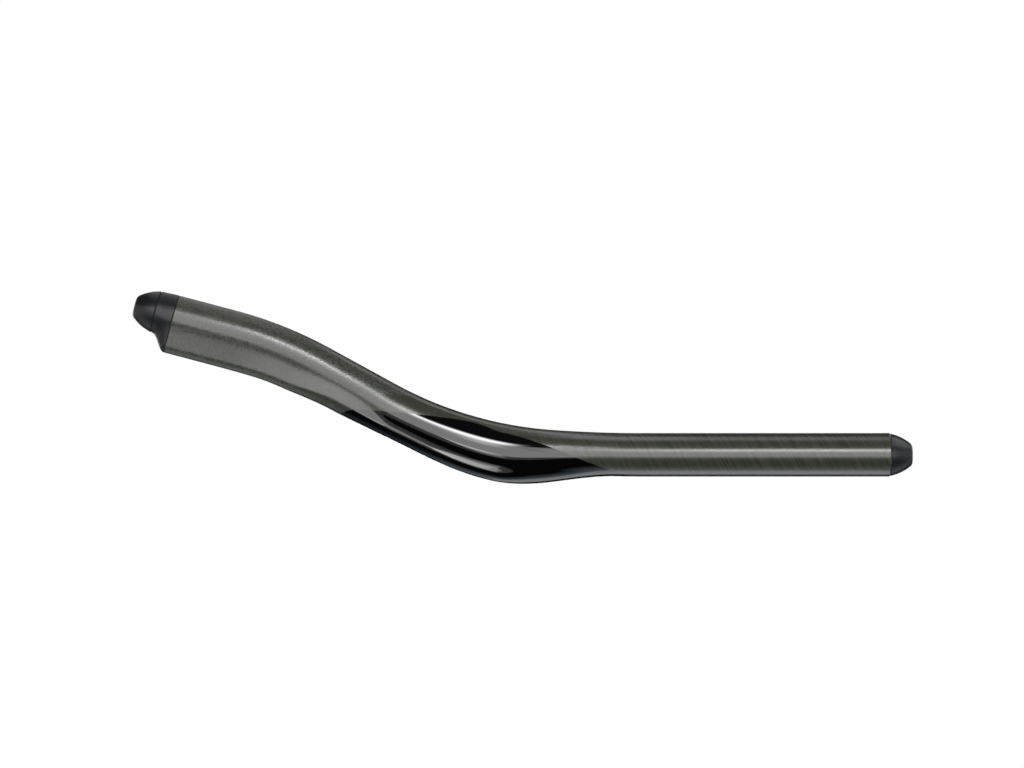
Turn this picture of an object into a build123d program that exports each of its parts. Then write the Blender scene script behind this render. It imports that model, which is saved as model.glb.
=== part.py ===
from build123d import *
import os
from math import cos, radians, sin, sqrt
from typing import NamedTuple

# Aero handlebar extension, in millimetres, +Z up.
# +X runs along the straight clamp tail towards its free rear end, and the hand grip is at -X.
# The origin is on the tail's axis, half way along the tail. The part is the same on both sides of XZ.

# Round tube
TUBE_DIAMETER = 22.2
TUBE_WALL = 1.6
TAIL_LENGTH = 125.6

# Axis, forward from the tail: easy bend, main bend, straight ramp, upper bend back, straight grip
EASY_RADIUS = 673.0
EASY_ANGLE = 4.0
MAIN_RADIUS = 206.5
RAMP_ANGLE = 28.7
RAMP_LENGTH = 37.7
UPPER_RADIUS = 203.5
GRIP_ANGLE = 14.85
GRIP_LENGTH = 29.3

# Where the keel changes, measured along the axis from the front end of the tail
FADE_AT = 14.0
SWELL_AT = 52.0
BELLY_AT = 72.0
WAIST_AT = 126.0
RAMP_AT = 158.0
BEND_AT = 188.0
GRIP_AT = 220.0

# Radius that softens the crease between the round crown and the keel
CREASE = 0.6

# Bevel on each edge that meets another piece, which leaves a fine line at every seam
SEAM_BEVEL = 0.35

# Tip adapter, whose round end lies inside the tube's outside by the inset
ADAPTER_LENGTH = 9.5
ADAPTER_TIP_INSET = 0.3
TONGUE_LENGTH = 16.0
TONGUE_CLEARANCE = 0.1
TONGUE_WALL = 1.8
TONGUE_CHEEK = 2.3

# End plugs, whose noses start inside the tube's outside by the inset
NOSE_LENGTH = 11.5
NOSE_INSET = 0.35
NOSE_END_RADIUS = 5.0
NOSE_CROWN_RADIUS = 24.0
NOSE_EDGE_RADIUS = 2.8
SPIGOT_LENGTH = 24.0
SPIGOT_CLEARANCE = 0.3
SPIGOT_LEAD = 1.0
PLUG_WALL = 2.2
PLUG_FLOOR = 8.0
RIB_CLEARANCE = 0.04
RIB_COUNT = 4
RIB_PITCH = 4.5
RIB_LENGTH = 2.0

TUBE_RADIUS = TUBE_DIAMETER / 2
BORE_RADIUS = TUBE_RADIUS - TUBE_WALL
ADAPTER_TIP_RADIUS = TUBE_RADIUS - ADAPTER_TIP_INSET
NOSE_BASE_RADIUS = TUBE_RADIUS - NOSE_INSET


class Keel(NamedTuple):
    """The moulded underside at one place along the tube."""

    drop: float  # depth of the keel's bottom below the round tube
    side_inset: float  # how far the flanks, carried up to the axis, lie inside the tube's sides
    lean: float  # how far a flank comes in for each millimetre down, negative where it flares
    corner: float  # radius of the lower corners
    side_drop: float  # how far the crown's widest line lies below the axis


BELLY = Keel(drop=7.55, side_inset=0.32, lean=0.066, corner=5.4, side_drop=3.4)
SWELL = BELLY._replace(side_inset=0.0, lean=0.135, corner=8.8)
WAIST = Keel(drop=3.85, side_inset=0.4, lean=0.058, corner=5.0, side_drop=1.85)
RAMP = Keel(drop=5.0, side_inset=1.1, lean=-0.11, corner=6.3, side_drop=0.0)
BEND = Keel(drop=6.85, side_inset=0.7, lean=0.06, corner=4.5, side_drop=0.0)
GRIP = Keel(drop=7.85, side_inset=0.25, lean=0.14, corner=4.2, side_drop=0.0)
STATIONS = [
    (SWELL_AT, SWELL),
    (BELLY_AT, BELLY),
    (WAIST_AT, WAIST),
    (RAMP_AT, RAMP),
    (BEND_AT, BEND),
    (GRIP_AT, GRIP),
]

# Angles from straight down at which a section is drawn: close at the keel's corners, wider over the crown
HALF_ANGLES = [*range(0, 60, 3), *range(60, 90, 6), *range(90, 181, 15)]
ANGLES = HALF_ANGLES + [360 - angle for angle in HALF_ANGLES[-2:0:-1]]
CREASE_FADE = 0.25
BODY_SECTIONS = 48
ADAPTER_SECTIONS = 7

# Gap closed where the moulded body, drawn through points, meets the true cylinder of the tail
JOIN_TOLERANCE = 0.001


def ease(share):
    """Smooth step from 0 to 1."""
    held = min(max(share, 0.0), 1.0)
    return held * held * (3 - 2 * held)


def between(low, high, share):
    """Values part of the way from one list to another."""
    return [a + (b - a) * share for a, b in zip(low, high)]


def tube_axis():
    """Line of the tube's axis from the front end of the tail to the square-cut front end."""
    easy = JernArc((-TAIL_LENGTH / 2, 0), (-1, 0), EASY_RADIUS, -EASY_ANGLE)
    main = JernArc(easy @ 1, easy % 1, MAIN_RADIUS, EASY_ANGLE - RAMP_ANGLE)
    ramp = Line(main @ 1, main @ 1 + main % 1 * RAMP_LENGTH)
    upper = JernArc(ramp @ 1, ramp % 1, UPPER_RADIUS, RAMP_ANGLE - GRIP_ANGLE)
    grip = Line(upper @ 1, upper @ 1 + upper % 1 * GRIP_LENGTH)
    return Plane.XZ * Wire([easy, main, ramp, upper, grip])


AXIS = tube_axis()


def section_plane(distance):
    """Plane square to the axis: its x points down to the keel, its z points forward."""
    origin = AXIS.position_at(distance, position_mode=PositionMode.LENGTH)
    forward = AXIS.tangent_at(distance, position_mode=PositionMode.LENGTH)
    return Plane(origin, x_dir=forward.cross(Vector(0, 1, 0)), z_dir=forward)


def keel_at(distance):
    """Keel sizes at a distance along the axis, eased from one station to the next."""
    for (start, near), (end, far) in zip(STATIONS, STATIONS[1:]):
        if distance < end:
            return Keel(*between(near, far, ease((distance - start) / (end - start))))
    return GRIP


def crown_reach(down, side, keel):
    """Distance from the axis to the crown, an ellipse centred below the axis by the side drop."""
    height = TUBE_RADIUS + keel.side_drop
    square = (down / height) ** 2 + (side / TUBE_RADIUS) ** 2
    cross = keel.side_drop * down / height**2
    offset = (keel.side_drop / height) ** 2 - 1
    return (cross + sqrt(cross**2 - square * offset)) / square


def keel_reach(down, side, keel):
    """Distance from the axis to the keel: flat bottom, leaning flank and a round corner between them."""
    bottom = TUBE_RADIUS + keel.drop
    flank = TUBE_RADIUS - keel.side_inset
    slant = sqrt(1 + keel.lean**2)
    middle_down = bottom - keel.corner
    middle_side = flank - keel.lean * middle_down - keel.corner * slant
    if side * bottom < middle_side * down:
        return bottom / down
    flank_down = middle_down + keel.corner * keel.lean / slant
    flank_side = middle_side + keel.corner / slant
    if side * flank_down > flank_side * down:
        return flank / (side + keel.lean * down)
    toward = middle_down * down + middle_side * side
    return toward + sqrt(toward**2 - middle_down**2 - middle_side**2 + keel.corner**2)


def section_reach(angle, keel):
    """Distance from the axis to the outside, the further of crown and keel with a soft crease."""
    down = cos(radians(angle))
    side = abs(sin(radians(angle)))
    crown = crown_reach(down, side, keel)
    if down <= 0:
        return crown
    lower = keel_reach(down, side, keel)
    soft = CREASE * ease(down / CREASE_FADE)
    return (crown + lower + sqrt((crown - lower) ** 2 + soft**2)) / 2


def body_reaches(distance):
    """Reach of the tube at each angle: round at the tail, drawn down into the keel ahead of it."""
    keel = keel_at(distance)
    share = ease((distance - FADE_AT) / (BELLY_AT - FADE_AT))
    return [TUBE_RADIUS + share * (section_reach(angle, keel) - TUBE_RADIUS) for angle in ANGLES]


def outline(reaches, inset=0.0):
    """Closed outline of (down, side) points, moved inwards by a wall or a clearance."""
    turns = [radians(angle) for angle in ANGLES]
    points = [Vector(reach * cos(turn), reach * sin(turn)) for reach, turn in zip(reaches, turns)]
    moved = []
    for index, point in enumerate(points):
        along = (points[(index + 1) % len(points)] - points[index - 1]).normalized()
        moved.append(point + Vector(-along.Y, along.X) * inset)
    return moved


def outline_wire(plane, points):
    """Smooth closed wire through an outline, on a section plane."""
    placed = [plane.from_local_coords(point) for point in points]
    return Wire([Edge.make_spline(placed, periodic=True, parameters=ANGLES + [360])])


def body_loft(inset, length):
    """Moulded body from the front end of the tail to a length along the axis."""
    wires = []
    for index in range(BODY_SECTIONS + 1):
        distance = length * index / BODY_SECTIONS
        wires.append(outline_wire(section_plane(distance), outline(body_reaches(distance), inset)))
    return Solid.make_loft(wires)


def extension_tube():
    """Hollow moulded tube: straight round tail, bends and keeled grip, cut square at both ends."""
    length = AXIS.length
    front = section_plane(length)
    tail_start = section_plane(0)
    reaches = body_reaches(length)

    tail = extrude(tail_start * Circle(TUBE_RADIUS), -TAIL_LENGTH)
    tail = chamfer(tail.edges().sort_by(Axis.X)[-1], SEAM_BEVEL)
    bevel_back = outline_wire(front.offset(-SEAM_BEVEL), outline(reaches))
    bevel_front = outline_wire(front, outline(reaches, SEAM_BEVEL))
    bevel = Solid.make_loft([bevel_back, bevel_front], ruled=True)
    outer = tail.fuse(body_loft(0, length - SEAM_BEVEL), bevel, tol=JOIN_TOLERANCE)

    bore = extrude(tail_start * Circle(BORE_RADIUS), -TAIL_LENGTH)
    return outer - bore.fuse(body_loft(TUBE_WALL, length), tol=JOIN_TOLERANCE)


def tongue(front):
    """Block on the back of the adapter that fills the tube's keel below the bore, cored out from behind."""
    points = outline(body_reaches(AXIS.length), TUBE_WALL + TONGUE_CLEARANCE)
    block = extrude(Face(outline_wire(front, points)), -TONGUE_LENGTH)
    bore = extrude(front * Circle(BORE_RADIUS + TONGUE_CLEARANCE), -TONGUE_LENGTH)
    top = BORE_RADIUS - TONGUE_CHEEK
    bottom = points[0].X
    span = bottom - top
    below = front * Pos(top + span, 0, 0) * Rectangle(2 * span, 2 * TUBE_DIAMETER)
    block = (block & extrude(below, -TONGUE_LENGTH)) - bore

    core_top = BORE_RADIUS + TONGUE_WALL
    core_height = bottom - TONGUE_WALL - core_top
    core_width = 2 * (BORE_RADIUS - GRIP.side_inset - GRIP.lean * bottom - 2 * TONGUE_WALL)
    core_middle = Pos(core_top + core_height / 2, 0, -TONGUE_WALL)
    return block - extrude(front * core_middle * Rectangle(core_height, core_width), -TONGUE_LENGTH)


def tip_adapter():
    """Moulded nose piece: the keel sweeps up into a round seat for the plug."""
    front = section_plane(AXIS.length)
    keeled = body_reaches(AXIS.length)
    plain = [ADAPTER_TIP_RADIUS] * len(ANGLES)
    seat = ADAPTER_LENGTH - SEAM_BEVEL

    wires = []
    for index in range(ADAPTER_SECTIONS + 1):
        share = index / ADAPTER_SECTIONS
        reach = SEAM_BEVEL + (seat - SEAM_BEVEL) * share
        wires.append(outline_wire(front.offset(reach), outline(between(keeled, plain, ease(share)))))
    body = Solid.make_loft(wires)

    back_edge = outline_wire(front, outline(keeled, SEAM_BEVEL))
    back_bevel = Solid.make_loft([back_edge, wires[0]], ruled=True)
    tip_edge = outline_wire(front.offset(ADAPTER_LENGTH), outline(plain, SEAM_BEVEL))
    tip_bevel = Solid.make_loft([wires[-1], tip_edge], ruled=True)
    bore = extrude(front * Circle(BORE_RADIUS), ADAPTER_LENGTH)
    return body + [back_bevel, tip_bevel, tongue(front)] - bore


def end_plug():
    """Push-in plug about its own Z: seat at zero, blunt nose above it, ribbed hollow spigot below."""
    spigot = BORE_RADIUS - SPIGOT_CLEARANCE
    hollow = spigot - PLUG_WALL
    rim = (NOSE_BASE_RADIUS, SEAM_BEVEL)
    end = (NOSE_END_RADIUS, NOSE_LENGTH)
    hollow_end = NOSE_LENGTH - PLUG_FLOOR
    side = Polyline(
        rim,
        (NOSE_BASE_RADIUS - SEAM_BEVEL, 0),
        (spigot, 0),
        (spigot, SPIGOT_LEAD - SPIGOT_LENGTH),
        (spigot - SPIGOT_LEAD, -SPIGOT_LENGTH),
        (hollow, -SPIGOT_LENGTH),
        (hollow, hollow_end),
        (0, hollow_end),
    )
    nose = Polyline((0, hollow_end), (0, NOSE_LENGTH), end)
    profile = make_face([*nose.edges(), RadiusArc(end, rim, NOSE_CROWN_RADIUS), *side.edges()])
    profile = fillet(profile.vertices().sort_by_distance(end)[0], NOSE_EDGE_RADIUS)
    plug = revolve(Plane.XZ * profile, Axis.Z)

    rib = BORE_RADIUS - RIB_CLEARANCE
    for index in range(RIB_COUNT):
        top = -RIB_PITCH * (index + 1)
        foot = top - RIB_LENGTH
        barb = Polyline((hollow, top), (rib, top), (spigot, foot), (hollow, foot), close=True)
        plug += revolve(Plane.XZ * make_face(barb), Axis.Z)
    return plug


FRONT = section_plane(AXIS.length)
REAR = Plane((TAIL_LENGTH / 2, 0, 0), x_dir=(0, 0, -1), z_dir=(1, 0, 0))

NODES = {
    "extension_tube": extension_tube(),
    "tip_adapter": tip_adapter(),
    "front_plug": FRONT.offset(ADAPTER_LENGTH) * end_plug(),
    "rear_plug": REAR * end_plug(),
}

os.makedirs("parts", exist_ok=True)
for name, shape in NODES.items():
    export_step(shape, f"parts/{name}.step")
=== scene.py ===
import math
from typing import NamedTuple

import bpy
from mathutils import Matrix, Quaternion, Vector


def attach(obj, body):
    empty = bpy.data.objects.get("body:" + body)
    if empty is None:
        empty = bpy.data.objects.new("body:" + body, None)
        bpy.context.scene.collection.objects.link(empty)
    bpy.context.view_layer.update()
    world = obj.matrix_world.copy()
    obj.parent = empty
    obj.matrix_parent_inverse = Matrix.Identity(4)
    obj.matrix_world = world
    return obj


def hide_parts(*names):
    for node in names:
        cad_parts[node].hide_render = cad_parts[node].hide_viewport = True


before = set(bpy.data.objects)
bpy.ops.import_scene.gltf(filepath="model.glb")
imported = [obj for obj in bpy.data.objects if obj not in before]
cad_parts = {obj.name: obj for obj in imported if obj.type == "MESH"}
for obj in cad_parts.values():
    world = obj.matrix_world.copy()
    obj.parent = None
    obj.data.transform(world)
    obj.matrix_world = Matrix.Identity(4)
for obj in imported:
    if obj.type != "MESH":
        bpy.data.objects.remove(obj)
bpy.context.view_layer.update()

# Aero handlebar extension: moulded carbon tube, tip adapter and two end plugs.
# The scene is in metres, +Z up, +X along the clamp tail to the rear.

MM = 0.001
FULL_TURN = 360.0
HALF_TURN = 180.0

# Sizes of the moulded tube, in millimetres and degrees, as in the solids

TUBE_SIZES = {
    "Tube radius": 11.1,
    "Tail length": 125.6,
    "Easy radius": 673.0,
    "Easy angle": 4.0,
    "Main radius": 206.5,
    "Ramp angle": 28.7,
    "Ramp length": 37.7,
    "Upper radius": 203.5,
    "Grip angle": 14.85,
    "Grip length": 29.3,
    "Fade at": 14.0,
    "Crease": 0.6,
    "Crease fade": 0.25,
}
KEEL_WORDS = ("at", "drop", "side inset", "lean", "corner", "side drop")
KEEL_SIZES = {
    "Swell": (52.0, 7.55, 0.0, 0.135, 8.8, 3.4),
    "Belly": (72.0, 7.55, 0.32, 0.066, 5.4, 3.4),
    "Waist": (126.0, 3.85, 0.4, 0.058, 5.0, 1.85),
    "Ramp": (158.0, 5.0, 1.1, -0.11, 6.3, 0.0),
    "Bend": (188.0, 6.85, 0.7, 0.06, 4.5, 0.0),
    "Grip": (220.0, 7.85, 0.25, 0.14, 4.2, 0.0),
}
TUBE_WALL = 1.6
SEAM_BEVEL = 0.35

# Faces of the tube: spacing along it in millimetres, and round it in degrees from straight down

LONG_ROW = 4.0
BEND_ROW = 1.0
FINE_TURN = 1.5
FINE_TO = 60.0
COARSE_TURN = 3.0
SHARP_ANGLE = math.radians(28)
SMALLEST_DIVISOR = 0.01
WRAP_MAP = "wrap"


# Numbers in node trees


class Rule:
    """A number in a node tree: arithmetic on it adds Math nodes, so a rule reads as a formula."""

    def __init__(self, tree, socket):
        self.tree = tree
        self.socket = socket

    def step(self, operation, *others):
        node = self.tree.nodes.new("ShaderNodeMath")
        node.operation = operation
        feed(self.tree, node.inputs, (self, *others))
        return Rule(self.tree, node.outputs[0])

    def __add__(self, other):
        return self.step("ADD", other)

    __radd__ = __add__

    def __sub__(self, other):
        return self.step("SUBTRACT", other)

    def __rsub__(self, other):
        return self * -1.0 + other

    def __mul__(self, other):
        return self.step("MULTIPLY", other)

    __rmul__ = __mul__

    def __truediv__(self, other):
        return self.step("DIVIDE", other)

    def __pow__(self, other):
        return self.step("POWER", other)

    def squared(self):
        return self * self

    def sine(self):
        return self.step("SINE")

    def cosine(self):
        return self.step("COSINE")

    def root(self):
        return self.step("SQRT")

    def at_least(self, low):
        return self.step("MAXIMUM", low)

    def at_most(self, high):
        return self.step("MINIMUM", high)

    def centred(self):
        """From -0.5 to 0.5 in place of 0 to 1."""
        return self - 0.5

    def eased(self, low, high):
        """0 below low, 1 above high, and a smooth step between."""
        node = self.tree.nodes.new("ShaderNodeMapRange")
        node.interpolation_type = "SMOOTHSTEP"
        feed(self.tree, node.inputs, (self, low, high))
        return Rule(self.tree, node.outputs[0])


def feed(tree, slots, values):
    """Link or set the first sockets of a node, in order."""
    for slot, value in zip(slots, values):
        if isinstance(value, Rule):
            tree.links.new(value.socket, slot)
        else:
            slot.default_value = value


def split(tree, socket):
    """The three numbers of a vector."""
    node = tree.nodes.new("ShaderNodeSeparateXYZ")
    tree.links.new(socket, node.inputs[0])
    return [Rule(tree, output) for output in node.outputs]


def join(tree, numbers):
    """A vector from three numbers."""
    node = tree.nodes.new("ShaderNodeCombineXYZ")
    feed(tree, node.inputs, numbers)
    return node.outputs[0]


def between(share, low, high):
    """Number part of the way from one to another."""
    return share * (high - low) + low


# Moulded tube: a flat pattern that geometry nodes bend into shape


def axis_rule(along, size):
    """How far the axis has gone forward and up at a distance along it, and its slope there."""
    easy = size("Easy angle").step("RADIANS")
    ramp = size("Ramp angle").step("RADIANS")
    grip = size("Grip angle").step("RADIANS")
    level = along * 0.0
    bends = [
        (size("Easy radius"), level, easy, level),
        (size("Main radius"), easy, ramp, size("Ramp length")),
        (size("Upper radius") * -1.0, ramp, grip, size("Grip length")),
    ]
    forward = along.at_most(0.0)
    rise = level
    slope = level
    start = level
    for radius, before, after, straight in bends:
        length = radius * (after - before)
        gone = (along - start).at_least(0.0).at_most(length)
        here = before + gone / radius
        forward = forward + radius * (here.sine() - before.sine())
        rise = rise + radius * (before.cosine() - here.cosine())
        slope = slope + gone / radius
        start = start + length
        gone = (along - start).at_least(0.0).at_most(straight)
        forward = forward + gone * after.cosine()
        rise = rise + gone * after.sine()
        start = start + straight
    return forward, rise, slope


def section_rule(along, turn, size):
    """Distance from the axis to the outside: a round crown over a leaning keel, with a soft crease."""
    radius = size("Tube radius")
    stations = list(KEEL_SIZES)
    pairs = list(zip(stations, stations[1:]))
    shares = [along.eased(size(f"{near} at"), size(f"{far} at")) for near, far in pairs]

    def keel(word):
        value = size(f"{stations[0]} {word}")
        for (near, far), share in zip(pairs, shares):
            value = value + (size(f"{far} {word}") - size(f"{near} {word}")) * share
        return value

    down = turn.cosine()
    side = turn.sine().step("ABSOLUTE")

    side_drop = keel("side drop")
    height = radius + side_drop
    square = (down / height).squared() + (side / radius).squared()
    cross = side_drop * down / height.squared()
    offset = (side_drop / height).squared() - 1.0
    crown = (cross + (cross.squared() - square * offset).root()) / square

    lean = keel("lean")
    corner = keel("corner")
    bottom = radius + keel("drop")
    flank = radius - keel("side inset")
    slant = (lean.squared() + 1.0).root()
    middle_down = bottom - corner
    middle_side = flank - lean * middle_down - corner * slant
    flank_down = middle_down + corner * lean / slant
    flank_side = middle_side + corner / slant
    toward = middle_down * down + middle_side * side
    inside = toward.squared() + corner.squared() - middle_down.squared() - middle_side.squared()
    arc = toward + inside.at_least(0.0).root()
    under = bottom / down.at_least(SMALLEST_DIVISOR)
    beside = flank / (side + lean * down).at_least(SMALLEST_DIVISOR)
    on_bottom = (middle_side * down).step("GREATER_THAN", side * bottom)
    on_flank = (side * flank_down).step("GREATER_THAN", flank_side * down)
    lower = between(on_flank, between(on_bottom, arc, under), beside)
    lower = lower * down.step("GREATER_THAN", 0.0)

    soft = size("Crease") * (down / size("Crease fade")).eased(0.0, 1.0)
    whole = (crown + lower + ((crown - lower).squared() + soft.squared()).root()) / 2.0
    return radius + along.eased(size("Fade at"), size("Belly at")) * (whole - radius)


def moulded_form():
    """Nodes that bend a pattern point (distance along, turn from straight down, depth) into the tube."""
    tree = bpy.data.node_groups.new("moulded_form", "GeometryNodeTree")
    face = tree.interface
    face.new_socket("Geometry", in_out="OUTPUT", socket_type="NodeSocketGeometry")
    face.new_socket("Geometry", in_out="INPUT", socket_type="NodeSocketGeometry")
    face.new_socket("Finish", in_out="INPUT", socket_type="NodeSocketMaterial")
    for name in [*TUBE_SIZES, *(f"{station} {word}" for station in KEEL_SIZES for word in KEEL_WORDS)]:
        face.new_socket(name, in_out="INPUT", socket_type="NodeSocketFloat")
    given = tree.nodes.new("NodeGroupInput")

    def size(name):
        return Rule(tree, given.outputs[name])

    along, turn, depth = split(tree, tree.nodes.new("GeometryNodeInputPosition").outputs[0])
    turn = turn.step("RADIANS")
    forward, rise, slope = axis_rule(along, size)
    reach = section_rule(along, turn, size) - depth
    drop = reach * turn.cosine()
    place = [
        (size("Tail length") / 2.0 + forward + drop * slope.sine()) * -MM,
        reach * turn.sine() * -MM,
        (rise - drop * slope.cosine()) * MM,
    ]

    bend = tree.nodes.new("GeometryNodeSetPosition")
    tree.links.new(given.outputs["Geometry"], bend.inputs["Geometry"])
    tree.links.new(join(tree, place), bend.inputs["Position"])
    smooth = tree.nodes.new("GeometryNodeSetShadeSmooth")
    tree.links.new(bend.outputs[0], smooth.inputs[0])
    crisp = tree.nodes.new("GeometryNodeSetShadeSmooth")
    crisp.domain = "EDGE"
    crisp.inputs["Shade Smooth"].default_value = False
    edge = Rule(tree, tree.nodes.new("GeometryNodeInputMeshEdgeAngle").outputs["Unsigned Angle"])
    tree.links.new(smooth.outputs[0], crisp.inputs[0])
    tree.links.new(edge.step("GREATER_THAN", SHARP_ANGLE).socket, crisp.inputs["Selection"])
    whole = tree.nodes.new("GeometryNodeRealizeInstances")
    tree.links.new(crisp.outputs[0], whole.inputs[0])
    finish = tree.nodes.new("GeometryNodeSetMaterial")
    tree.links.new(whole.outputs[0], finish.inputs["Geometry"])
    tree.links.new(given.outputs["Finish"], finish.inputs["Material"])
    tree.links.new(finish.outputs[0], tree.nodes.new("NodeGroupOutput").inputs[0])
    return tree


def axis_length():
    """Length of the axis from the front end of the tail to the front end of the grip."""
    s = TUBE_SIZES
    bends = [
        s["Easy radius"] * s["Easy angle"],
        s["Main radius"] * (s["Ramp angle"] - s["Easy angle"]),
        s["Upper radius"] * (s["Ramp angle"] - s["Grip angle"]),
    ]
    return math.radians(sum(bends)) + s["Ramp length"] + s["Grip length"]


def pattern_rows():
    """Distance along and depth of each ring: forward over the outside, then back along the inner wall."""
    front = axis_length()
    rear = -TUBE_SIZES["Tail length"]
    tail = [rear + LONG_ROW * step for step in range(1, int(-rear / LONG_ROW))]
    bends = [BEND_ROW * step for step in range(int(front / BEND_ROW))]
    inside = [front - LONG_ROW * step for step in range(1, int((front - rear) / LONG_ROW))]
    rows = [(rear, SEAM_BEVEL), (rear + SEAM_BEVEL, 0.0)]
    rows += [(along, 0.0) for along in [*tail, *bends, front - SEAM_BEVEL]]
    rows += [(front, SEAM_BEVEL), (front, TUBE_WALL)]
    rows += [(along, TUBE_WALL) for along in [*inside, rear]]
    return rows


def pattern_turns():
    """Turns round the section in degrees, from straight down and closer together there."""
    fine = [FINE_TURN * step for step in range(round(FINE_TO / FINE_TURN))]
    coarse_steps = round((HALF_TURN - FINE_TO) / COARSE_TURN)
    half = fine + [FINE_TO + COARSE_TURN * step for step in range(coarse_steps + 1)]
    return half + [FULL_TURN - turn for turn in half[-2:0:-1]]


def flat_pattern(name, rows, turns):
    """Pattern mesh closed both ways round, with a map of the millimetres along and round it."""
    mesh = bpy.data.meshes.new(name)
    wide = len(turns)
    radius = TUBE_SIZES["Tube radius"]
    rounds = [math.radians(turn) * radius for turn in [*turns, FULL_TURN]]
    faces = []
    corners = []
    for row, (along, _) in enumerate(rows):
        following = (row + 1) % len(rows)
        ahead = rows[following][0]
        here, there = row * wide, following * wide
        for column in range(wide):
            beside = (column + 1) % wide
            faces.append((here + column, here + beside, there + beside, there + column))
            near, far = rounds[column], rounds[column + 1]
            corners += [along, near, along, far, ahead, far, ahead, near]
    mesh.from_pydata([(along, turn, depth) for along, depth in rows for turn in turns], [], faces)
    mesh.uv_layers.new(name=WRAP_MAP).data.foreach_set("uv", corners)
    return mesh


def carbon_tube(finish):
    """Closed shell of the moulded tube: outside, bevelled ends and inner wall."""
    flat = flat_pattern("tube_pattern", pattern_rows(), pattern_turns())
    pattern = bpy.data.objects.new("tube_pattern", flat)
    bpy.context.scene.collection.objects.link(pattern)
    form = pattern.modifiers.new("form", "NODES")
    form.node_group = moulded_form()
    sizes = {**TUBE_SIZES, "Finish": finish}
    for station, values in KEEL_SIZES.items():
        sizes.update({f"{station} {word}": value for word, value in zip(KEEL_WORDS, values)})
    for socket in form.node_group.interface.items_tree:
        if socket.in_out == "INPUT" and socket.name in sizes:
            form[socket.identifier] = sizes[socket.name]
    scene_state = bpy.context.evaluated_depsgraph_get()
    mesh = bpy.data.meshes.new_from_object(pattern.evaluated_get(scene_state))
    mesh.name = "carbon_tube"
    pattern.modifiers.remove(form)
    bpy.data.objects.remove(pattern)
    bpy.data.meshes.remove(flat)
    piece = bpy.data.objects.new("carbon_tube", mesh)
    bpy.context.scene.collection.objects.link(piece)
    return piece


# Finishes

SATIN_DARK = (0.0185, 0.0197, 0.0147)
SATIN_PALE = (0.0365, 0.0383, 0.03)
COAT_DARK = (0.0165, 0.0176, 0.0135)
COAT_PALE = (0.051, 0.0535, 0.0435)
PANEL_BLACK = (0.0012, 0.0012, 0.0015)
SATIN_ROUGH = 0.23
COAT_ROUGH = 0.31
PANEL_ROUGH = 0.03

# How far streaks, smudges and grit change the roughness
STREAK_ROUGH = 0.05
SMUDGE_ROUGH = 0.06
GRIT_ROUGH = 0.12
PANEL_SMUDGE = 0.02
CARBON_SMUDGES = 28.0

# Slant of the carbon ply against the tube in degrees, and its streaks: width and length in millimetres
# and the layer of the noise that they are cut from
PLY_SLANT = 63.0
FINE_STREAK = (0.75, 17.0, 0.0)
BROAD_STREAK = (2.6, 40.0, 7.0)
FINE_STREAK_SHARE = 0.6
STREAK_SPAN = (0.32, 0.68)

# Stretch of X in millimetres over which the streaks grow from weak to full
STREAK_GROWTH = (-150.0, -95.0)
WEAK_STREAK = 0.25

# Grit of the grip coat: sizes and height in millimetres, and how much of it the satin has
GRIT_SIZE = 0.8
COARSE_GRIT_SIZE = 2.2
FINE_GRIT_SHARE = 0.7
GRIT_HEIGHT = 0.05
GRIT_STRENGTH = 0.15
SATIN_GRIT = 0.05

# Upper edge of the gloss panel: X and Z in millimetres, from its front tip to its rear tip
PANEL_EDGE = [
    (-217.0, 18.5),
    (-211.0, 22.9),
    (-196.8, 22.4),
    (-166.2, 19.3),
    (-151.0, 17.0),
    (-143.0, 14.6),
    (-136.7, 12.0),
    (-130.6, 10.6),
    (-125.0, 9.1),
    (-110.7, 4.2),
    (-96.0, -1.7),
    (-84.8, -5.9),
    (-76.6, -8.6),
    (-65.0, -11.6),
]
PANEL_SOFT = 0.1

# Lower edge of the grip coat: Z at a place along X, and its fall for each millimetre of X
COAT_AT = (-209.0, 32.0)
COAT_FALL = 0.0785
COAT_SOFT = 0.3

# Fine grain that the carbon and the plastics share
GRAIN_DETAIL = 2.0
GRAIN_ROUGHNESS = 0.6
GRAIN_SPAN = (0.3, 0.7)

# Moulded plastics: grain size and height in millimetres
PLASTIC_GRAIN = 0.5
PLASTIC_RELIEF = 0.02
PLASTIC_STRENGTH = 0.3
PLASTIC_SMUDGES = 60.0
PLASTIC_GRAIN_SHARE = 0.4
PLASTIC_GRAIN_ROUGH = 0.06
PLASTIC_SMUDGE_ROUGH = 0.12


class Plastic(NamedTuple):
    """Dark and pale of the mottle, roughness and specular level of a moulded plastic."""

    dark: tuple
    pale: tuple
    rough: float
    shine: float


ADAPTER_NYLON = Plastic((0.005, 0.0053, 0.0064), (0.009, 0.0094, 0.011), 0.36, 0.27)
PLUG_PLASTIC = Plastic((0.004, 0.0043, 0.0052), (0.008, 0.0084, 0.010), 0.34, 0.36)


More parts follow.
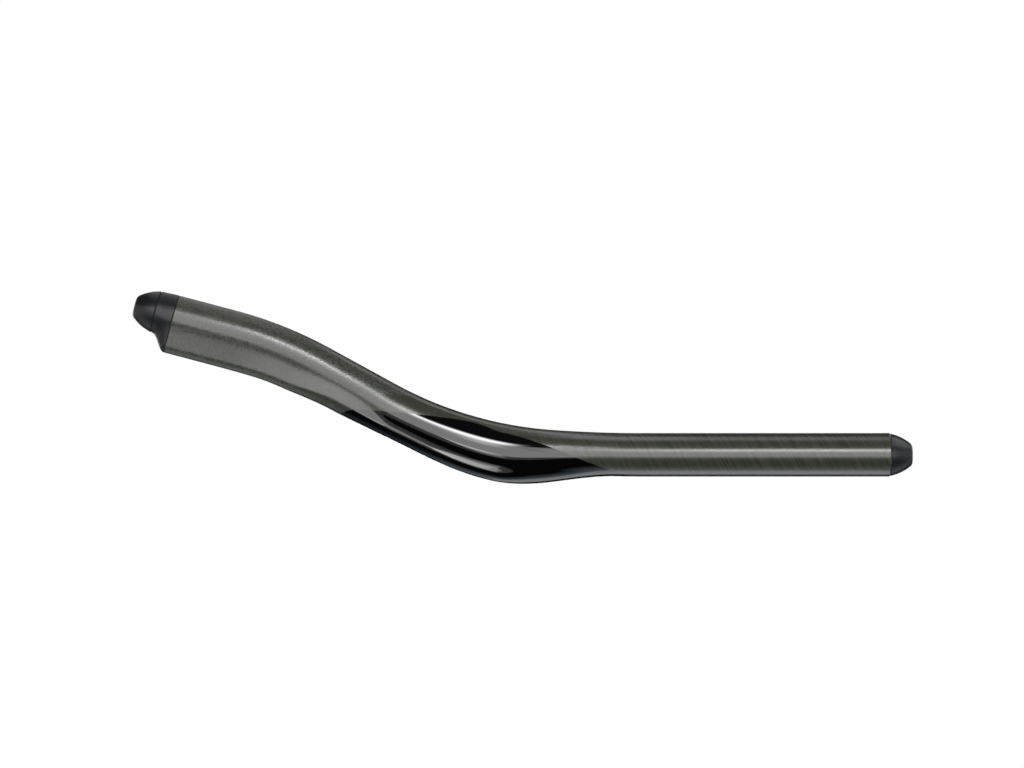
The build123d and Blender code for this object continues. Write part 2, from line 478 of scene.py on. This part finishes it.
def grain_group():
    """Fine grain over a surface, from 0 to 1, in grains of a given size in millimetres."""
    tree = bpy.data.node_groups.new("fine_grain", "ShaderNodeTree")
    tree.interface.new_socket("Place", in_out="INPUT", socket_type="NodeSocketVector")
    tree.interface.new_socket("Grain size", in_out="INPUT", socket_type="NodeSocketFloat")
    tree.interface.new_socket("Grain", in_out="OUTPUT", socket_type="NodeSocketFloat")
    given = tree.nodes.new("NodeGroupInput")
    specks = tree.nodes.new("ShaderNodeTexNoise")
    specks.inputs["Detail"].default_value = GRAIN_DETAIL
    specks.inputs["Roughness"].default_value = GRAIN_ROUGHNESS
    tree.links.new(given.outputs["Place"], specks.inputs["Vector"])
    scale = (Rule(tree, given.outputs["Grain size"]) * MM) ** -1.0
    tree.links.new(scale.socket, specks.inputs["Scale"])
    strong = Rule(tree, specks.outputs[0]).eased(*GRAIN_SPAN)
    tree.links.new(strong.socket, tree.nodes.new("NodeGroupOutput").inputs[0])
    return tree


def material(name):
    """New node material, with its tree and its shader."""
    made = bpy.data.materials.new(name)
    made.use_nodes = True
    tree = made.node_tree
    return made, tree, tree.nodes["Principled BSDF"]


def object_place(tree):
    """Place on the piece, in metres."""
    return tree.nodes.new("ShaderNodeTexCoord").outputs["Object"]


def grain(tree, group, place, size):
    """One use of the grain group."""
    node = tree.nodes.new("ShaderNodeGroup")
    node.node_tree = group
    tree.links.new(place, node.inputs["Place"])
    node.inputs["Grain size"].default_value = size
    return Rule(tree, node.outputs["Grain"])


def noise(tree, place, scale):
    """Noise from 0 to 1 about a half."""
    node = tree.nodes.new("ShaderNodeTexNoise")
    node.inputs["Scale"].default_value = scale
    tree.links.new(place, node.inputs["Vector"])
    return Rule(tree, node.outputs[0])


def blend(tree, share, low, high):
    """Colour part of the way from one to another: each is a colour or a socket."""
    node = tree.nodes.new("ShaderNodeMix")
    node.data_type = "RGBA"
    tree.links.new(share.socket, node.inputs["Factor"])
    for slot, colour in zip((node.inputs[6], node.inputs[7]), (low, high)):
        if isinstance(colour, tuple):
            slot.default_value = (*colour, 1.0)
        else:
            tree.links.new(colour, slot)
    return node.outputs[2]


def relief(tree, shader, height, distance, strength):
    """Bump from a height of 0 to 1 that stands for a distance in millimetres."""
    node = tree.nodes.new("ShaderNodeBump")
    node.inputs["Distance"].default_value = distance * MM
    node.inputs["Strength"].default_value = strength
    tree.links.new(height.socket, node.inputs["Height"])
    tree.links.new(node.outputs[0], shader.inputs["Normal"])


def ply_streaks(tree, x):
    """Streaks along the slanted ply, from 0 to 1, weaker towards the grip."""
    wrap = tree.nodes.new("ShaderNodeUVMap")
    wrap.uv_map = WRAP_MAP
    along, around, _ = split(tree, wrap.outputs[0])
    slant = math.radians(PLY_SLANT)
    with_ply = along * math.cos(slant) + around * math.sin(slant)
    across_ply = around * math.cos(slant) - along * math.sin(slant)

    def drawn_out(width, length, layer):
        return noise(tree, join(tree, (across_ply / width, with_ply / length, layer)), 1.0)

    mixed = drawn_out(*FINE_STREAK) * FINE_STREAK_SHARE
    mixed = mixed + drawn_out(*BROAD_STREAK) * (1.0 - FINE_STREAK_SHARE)
    strength = between(x.eased(*STREAK_GROWTH), WEAK_STREAK, 1.0)
    return mixed.eased(*STREAK_SPAN).centred() * strength + 0.5


def panel_mask(tree, x, z):
    """1 below the gloss panel's upper edge."""
    (first, _), (last, _) = PANEL_EDGE[0], PANEL_EDGE[-1]
    low = min(height for _, height in PANEL_EDGE)
    high = max(height for _, height in PANEL_EDGE)
    node = tree.nodes.new("ShaderNodeFloatCurve")
    points = node.mapping.curves[0].points
    while len(points) < len(PANEL_EDGE):
        points.new(0.5, 0.5)
    for point, (along, height) in zip(points, PANEL_EDGE):
        point.location = ((along - first) / (last - first), (height - low) / (high - low))
    node.mapping.update()
    tree.links.new(((x - first) / (last - first)).socket, node.inputs["Value"])
    edge = Rule(tree, node.outputs[0]) * (high - low) + low
    return (edge - z).eased(-PANEL_SOFT, PANEL_SOFT)


def coat_mask(x, z):
    """1 above the lower edge of the grip coat."""
    edge = (x - COAT_AT[0]) * -COAT_FALL + COAT_AT[1]
    return (z - edge).eased(-COAT_SOFT, COAT_SOFT)


def carbon_finish(group):
    """Satin carbon with slanted ply streaks, a gritty coat on the grip and a gloss black panel below."""
    made, tree, shader = material("moulded_carbon")
    place = object_place(tree)
    x, _, z = split(tree, place)
    x = x / MM
    z = z / MM
    streak = ply_streaks(tree, x)
    coat = coat_mask(x, z)
    panel = panel_mask(tree, x, z)
    grit = grain(tree, group, place, GRIT_SIZE)
    coarse_grit = grain(tree, group, place, COARSE_GRIT_SIZE)
    mottle = grit * FINE_GRIT_SHARE + coarse_grit * (1.0 - FINE_GRIT_SHARE)
    smudge = noise(tree, place, CARBON_SMUDGES)

    satin = blend(tree, streak, SATIN_DARK, SATIN_PALE)
    gritty = blend(tree, mottle, COAT_DARK, COAT_PALE)
    colour = blend(tree, panel, blend(tree, coat, satin, gritty), PANEL_BLACK)
    tree.links.new(colour, shader.inputs["Base Color"])

    satin_rough = streak.centred() * STREAK_ROUGH + smudge.centred() * SMUDGE_ROUGH + SATIN_ROUGH
    coat_rough = mottle.centred() * GRIT_ROUGH + COAT_ROUGH
    panel_rough = smudge.centred() * PANEL_SMUDGE + PANEL_ROUGH
    rough = between(panel, between(coat, satin_rough, coat_rough), panel_rough)
    tree.links.new(rough.socket, shader.inputs["Roughness"])

    height = between(panel, grit * between(coat, SATIN_GRIT, 1.0), 0.0)
    relief(tree, shader, height, GRIT_HEIGHT, GRIT_STRENGTH)
    return made


def moulded_finish(name, group, plastic):
    """Satin moulded plastic with a fine spark-eroded grain."""
    made, tree, shader = material(name)
    shader.inputs["Specular IOR Level"].default_value = plastic.shine
    place = object_place(tree)
    fine = grain(tree, group, place, PLASTIC_GRAIN)
    smudge = noise(tree, place, PLASTIC_SMUDGES)
    mottle = fine * PLASTIC_GRAIN_SHARE + smudge * (1.0 - PLASTIC_GRAIN_SHARE)
    tree.links.new(blend(tree, mottle, plastic.dark, plastic.pale), shader.inputs["Base Color"])
    rough = smudge.centred() * PLASTIC_SMUDGE_ROUGH + fine.centred() * PLASTIC_GRAIN_ROUGH + plastic.rough
    tree.links.new(rough.socket, shader.inputs["Roughness"])
    relief(tree, shader, fine, PLASTIC_RELIEF, PLASTIC_STRENGTH)
    return made


def dress(node, finish):
    """New finish on a solid."""
    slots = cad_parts[node].data.materials
    slots.clear()
    slots.append(finish)


# Studio

CAMERA_AT = Vector((-0.1296, -2.25, 0.03605))
VIEW_WIDTH = 0.5214
SENSOR_WIDTH = 36.0

FLOOR = -0.9
SWEEP_RADIUS = 3.3
SWEEP_COVE = 0.6
SWEEP_HEIGHT = 2.2
SWEEP_SIDES = 96
COVE_STEPS = 12
SWEEP_GREY = (0.8, 0.8, 0.8, 1.0)
SWEEP_ROUGH = 0.9

# Share of plain white in the floor, and the height above it at which the wall is all white
FLOOR_WHITE = 0.5
WHITE_FROM = 0.35

ROOM_COLOUR = (0.5, 0.5, 0.52, 1.0)
ROOM_GLOW = 0.07


class Box(NamedTuple):
    """Upright soft box in front: distance, lower and upper edge in degrees above the axis,
    left and right end along X, radiance, height of the axis there, and fall along X in degrees."""

    away: float
    low: float
    high: float
    left: float
    right: float
    glow: float
    axis: float = 0.0
    fall: float = 0.0


FRONT_BOXES = {
    "front_main": Box(2.6, -10.0, 27.0, -1.6, 1.6, 3.35),
    "front_low": Box(2.6, -11.5, -10.0, -0.235, 1.6, 2.8),
    "rim_soft": Box(2.5, -17.0, -9.0, -0.36, -0.21, 1.2),
    "rim_mid": Box(2.45, -14.0, -9.0, -0.36, -0.225, 2.2),
    "rim_core": Box(2.4, -12.0, -9.0, -0.36, -0.24, 4.2),
    "tail_strip": Box(0.7, 20.5, 26.0, -0.02, 0.25, 6.5),
    "grip_strip": Box(0.35, 27.0, 36.0, -0.28, -0.2125, 5.5, axis=0.066, fall=12.7),
    "ramp_strip": Box(0.35, 27.0, 33.0, -0.2125, -0.11, 46.0, axis=0.046, fall=16.9),
    "nose_strip": Box(0.7, 15.0, 32.0, -1.1, -0.5, 3.5, axis=0.075),
    "grip_low": Box(0.35, -19.0, -13.0, -0.4, -0.29, 2.2, axis=0.065, fall=14.85),
}


class Lamp(NamedTuple):
    """Soft box above, below or behind: middle, point that it faces, width, height and radiance."""

    middle: tuple
    aim: tuple
    width: float
    height: float
    glow: float


ROOM_LAMPS = {
    "tail_top": Lamp((0.024, 0.006, 0.15), (0.024, -0.007, 0.0085), 0.112, 0.071, 1.25),
    "belly_top": Lamp((-0.065, 0.006, 0.15), (-0.065, -0.007, 0.0085), 0.066, 0.071, 1.75),
    "bend_top": Lamp((-0.1365, 0.065, 0.165), (-0.15, -0.006, 0.02), 0.097, 0.05, 1.5),
    "grip_over": Lamp((-0.265, 0.175, 0.47), (-0.265, 0.175, 0.0), 0.37, 0.55, 0.75),
    "grip_top": Lamp((-0.27, 0.69, 0.65), (-0.27, 0.0, 0.07), 0.36, 0.65, 0.4),
    "grip_under": Lamp((-0.3625, -0.02, -0.12), (-0.3625, -0.02, 0.0), 0.115, 0.2, 0.8),
    "rear_top": Lamp((0.21, -0.01, 0.16), (0.21, -0.01, 0.0), 0.2, 0.22, 2.0),
    "back_main": Lamp((-0.1, 2.6, 0.1), (-0.1, 0.0, 0.1), 3.0, 0.9, 2.4),
    "back_left": Lamp((-1.9, 1.8, 0.3), (-0.1, 0.0, 0.0), 1.2, 1.2, 2.0),
    "back_right": Lamp((1.7, 1.8, 0.3), (-0.1, 0.0, 0.0), 1.2, 1.2, 2.0),
}

# Black cards: level ones below, in front of and behind the glowing panel, and an upright one far behind
FLAG_BLACK = (0.002, 0.002, 0.002, 1.0)
FLAG_LEVEL = -0.62
FLAG_LEFT = -1.9
FLAG_RIGHT = 1.7
FLAG_REACH = 1.9
BEHIND_AT = 2.9
BEHIND_LEFT = -0.2
BEHIND_RIGHT = 1.5
BEHIND_TOP = 1.4

# Glowing panel below: its level, its ends along X, and its edges and the start of the white across
UNDER_LEVEL = -0.6
UNDER_LEFT = -0.7
UNDER_RIGHT = 1.0
UNDER_NEAR = -0.375
UNDER_MIDDLE = 0.0
UNDER_FAR = 0.6
UNDER_BLUE = (0.72, 0.87, 1.0)
UNDER_WHITE = (0.96, 0.98, 1.0)
BLUE_GLOW = 1.3
WHITE_GLOW = 1.15

# Stretches over which its glows come in and fade, and the share that is left where they are weak
BLUE_GROWTH = (-0.55, -0.3)
BLUE_WEAK = 0.18
WHITE_GROWTH = (-0.3, -0.24)
WHITE_EDGE = (UNDER_MIDDLE - 0.02, UNDER_MIDDLE + 0.03)
FAR_FADE = (0.22, UNDER_FAR)
REAR_FADE = (0.12, 0.3)
REAR_WEAK = 0.4

# Glowing card far in front: its edges, and the stretches over which its core comes in and fades
STRIP_AT = -3.0
STRIP_LEFT = 0.05
STRIP_RIGHT = 0.55
STRIP_LOW = 0.6
STRIP_HIGH = 2.0
STRIP_RISE = (STRIP_LOW, 1.48)
STRIP_RISE_POWER = 1.5
STRIP_TOP_FADE = (1.55, 1.95)
STRIP_GROWTH = (STRIP_LEFT, 0.175)
STRIP_REAR_FADE = (0.36, 0.5)
STRIP_GLOW = 22.0
WALL_GLOW = 1.0


def camera():
    """Camera square to the side."""
    data = bpy.data.cameras.new("camera")
    data.sensor_width = SENSOR_WIDTH
    data.lens = SENSOR_WIDTH * -CAMERA_AT.y / VIEW_WIDTH
    view = bpy.data.objects.new("camera", data)
    view.location = CAMERA_AT
    view.rotation_euler = (math.pi / 2, 0.0, 0.0)
    bpy.context.scene.collection.objects.link(view)
    bpy.context.scene.camera = view


def sweep_finish():
    """Pale floor that keeps its shadows, rising into a white wall."""
    made, tree, shader = material("studio_sweep")
    shader.inputs["Base Color"].default_value = SWEEP_GREY
    shader.inputs["Roughness"].default_value = SWEEP_ROUGH
    height = split(tree, object_place(tree))[2]
    paths = tree.nodes.new("ShaderNodeLightPath")
    seen = Rule(tree, paths.outputs["Is Camera Ray"]) + Rule(tree, paths.outputs["Is Glossy Ray"])
    seen = (seen + Rule(tree, paths.outputs["Is Transmission Ray"])).at_most(1.0)
    white = between(height.eased(FLOOR, FLOOR + WHITE_FROM), FLOOR_WHITE, 1.0) * seen
    plain_white = tree.nodes.new("ShaderNodeEmission")
    mix = tree.nodes.new("ShaderNodeMixShader")
    tree.links.new(white.socket, mix.inputs[0])
    tree.links.new(shader.outputs[0], mix.inputs[1])
    tree.links.new(plain_white.outputs[0], mix.inputs[2])
    tree.links.new(mix.outputs[0], tree.nodes["Material Output"].inputs["Surface"])
    return made


def studio_sweep():
    """Round floor that curves up into a wall all the way round."""
    profile = [(0.0, FLOOR)]
    for step in range(COVE_STEPS + 1):
        turn = math.radians(90 * step / COVE_STEPS)
        out = SWEEP_RADIUS + SWEEP_COVE * (math.sin(turn) - 1)
        profile.append((out, FLOOR + SWEEP_COVE * (1 - math.cos(turn))))
    profile.append((SWEEP_RADIUS, FLOOR + SWEEP_HEIGHT))
    count = len(profile)
    points = []
    faces = []
    for step in range(SWEEP_SIDES):
        turn = 2 * math.pi * step / SWEEP_SIDES
        points += [(radius * math.cos(turn), radius * math.sin(turn), height) for radius, height in profile]
        near = step * count
        far = (step + 1) % SWEEP_SIDES * count
        faces += [(near + row, far + row, far + row + 1, near + row + 1) for row in range(count - 1)]
    mesh = bpy.data.meshes.new("studio_sweep")
    mesh.from_pydata(points, [], faces)
    mesh.shade_smooth()
    mesh.materials.append(sweep_finish())
    sweep = bpy.data.objects.new("studio_sweep", mesh)
    bpy.context.scene.collection.objects.link(sweep)


def softbox(name, lamp, fall=0.0):
    """Area lamp that no camera sees, turned so that it falls along X by an angle in degrees."""
    data = bpy.data.lights.new(name, "AREA")
    data.shape = "RECTANGLE"
    data.size = lamp.width
    data.size_y = lamp.height
    data.energy = lamp.glow * math.pi * lamp.width * lamp.height
    piece = bpy.data.objects.new(name, data)
    piece.location = lamp.middle
    facing = (Vector(lamp.aim) - Vector(lamp.middle)).to_track_quat("-Z", "Y")
    piece.rotation_euler = (facing @ Quaternion((0.0, 0.0, 1.0), -math.radians(fall))).to_euler()
    piece.visible_camera = False
    bpy.context.scene.collection.objects.link(piece)


def front_boxes():
    """Upright boxes in front, which draw the light bands along the side."""
    for name, box in FRONT_BOXES.items():
        low, high = [box.away * math.tan(math.radians(angle)) for angle in (box.low, box.high)]
        across = (box.left + box.right) / 2
        level = box.axis + (low + high) / 2
        middle = (across, -box.away, level)
        lamp = Lamp(middle, (across, 0.0, level), box.right - box.left, high - low, box.glow)
        softbox(name, lamp, fall=box.fall)


def card(name, corners, made):
    """Card that is seen in reflections and never by the camera."""
    mesh = bpy.data.meshes.new(name)
    mesh.from_pydata(corners, [], [(0, 1, 2, 3)])
    mesh.materials.append(made)
    piece = bpy.data.objects.new(name, mesh)
    piece.visible_camera = False
    piece.visible_shadow = False
    bpy.context.scene.collection.objects.link(piece)
    return piece


def level_corners(left, right, near, far, level):
    """Corners of a level card."""
    return [(left, near, level), (right, near, level), (right, far, level), (left, far, level)]


def upright_corners(left, right, depth, low, high):
    """Corners of an upright card."""
    return [(left, depth, low), (right, depth, low), (right, depth, high), (left, depth, high)]


def black_card_finish(name):
    """Black with no shine of its own, for a card that may glow."""
    made, tree, shader = material(name)
    shader.inputs["Base Color"].default_value = FLAG_BLACK
    shader.inputs["Specular IOR Level"].default_value = 0.0
    return made, tree, shader


def flag(name, corners):
    """Black card that keeps a pale part of the studio out of the gloss."""
    made, _, shader = black_card_finish(name)
    shader.inputs["Roughness"].default_value = 1.0
    card(name, corners, made).visible_diffuse = False


def flags():
    """Black cards in front of, behind and far behind the object."""
    flag("flag_front", level_corners(FLAG_LEFT, FLAG_RIGHT, -FLAG_REACH, UNDER_NEAR, FLAG_LEVEL))
    flag("flag_back", level_corners(FLAG_LEFT, FLAG_RIGHT, UNDER_FAR, FLAG_REACH, FLAG_LEVEL))
    flag("flag_behind", upright_corners(BEHIND_LEFT, BEHIND_RIGHT, BEHIND_AT, FLOOR, BEHIND_TOP))


def under_panel():
    """Panel below: a blue glow that grows to the back, then a white one, both weaker under the grip."""
    made, tree, shader = black_card_finish("under_panel")
    x, y, _ = split(tree, object_place(tree))
    rise = ((y - UNDER_NEAR) / (UNDER_MIDDLE - UNDER_NEAR)).at_least(0.0).at_most(1.0)
    blue = rise * between(x.eased(*BLUE_GROWTH), BLUE_WEAK, 1.0)
    white = y.eased(*WHITE_EDGE) * x.eased(*WHITE_GROWTH)
    fade = (1.0 - y.eased(*FAR_FADE)) * between(x.eased(*REAR_FADE), 1.0, REAR_WEAK)
    upward = 1.0 - Rule(tree, tree.nodes.new("ShaderNodeNewGeometry").outputs["Backfacing"])
    glow = (blue * BLUE_GLOW + white * WHITE_GLOW) * fade * upward
    tree.links.new(glow.socket, shader.inputs["Emission Strength"])
    tree.links.new(blend(tree, white, UNDER_BLUE, UNDER_WHITE), shader.inputs["Emission Color"])
    card("under_panel", level_corners(UNDER_LEFT, UNDER_RIGHT, UNDER_NEAR, UNDER_FAR, UNDER_LEVEL), made)


def bend_strip():
    """Upright card far in front that draws the hot line on the bend: a bright core with soft edges
    on the white of the wall that it covers."""
    made, tree, shader = black_card_finish("bend_strip")
    x, _, z = split(tree, object_place(tree))
    core = z.eased(*STRIP_RISE) ** STRIP_RISE_POWER * (1.0 - z.eased(*STRIP_TOP_FADE))
    reach = x.eased(*STRIP_GROWTH) * (1.0 - x.eased(*STRIP_REAR_FADE))
    tree.links.new((core * reach * STRIP_GLOW + WALL_GLOW).socket, shader.inputs["Emission Strength"])
    shader.inputs["Emission Color"].default_value = (1.0, 1.0, 1.0, 1.0)
    corners = upright_corners(STRIP_LEFT, STRIP_RIGHT, STRIP_AT, STRIP_LOW, STRIP_HIGH)
    card("bend_strip", corners, made).visible_diffuse = False


def room():
    """Dim even light from all round, and plain colours."""
    world = bpy.data.worlds.new("room")
    world.use_nodes = True
    background = world.node_tree.nodes["Background"]
    background.inputs["Color"].default_value = ROOM_COLOUR
    background.inputs["Strength"].default_value = ROOM_GLOW
    bpy.context.scene.world = world
    bpy.context.scene.view_settings.view_transform = "Standard"


def studio():
    """Sweep, lamps, cards and a dim room."""
    studio_sweep()
    front_boxes()
    under_panel()
    bend_strip()
    flags()
    for name, lamp in ROOM_LAMPS.items():
        softbox(name, lamp)
    room()


# The scene

camera()
studio()

grains = grain_group()
tube = carbon_tube(carbon_finish(grains))
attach(tube, "root")
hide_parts("extension_tube")

dress("tip_adapter", moulded_finish("adapter_nylon", grains, ADAPTER_NYLON))
plug_finish = moulded_finish("plug_plastic", grains, PLUG_PLASTIC)
dress("front_plug", plug_finish)
dress("rear_plug", plug_finish)
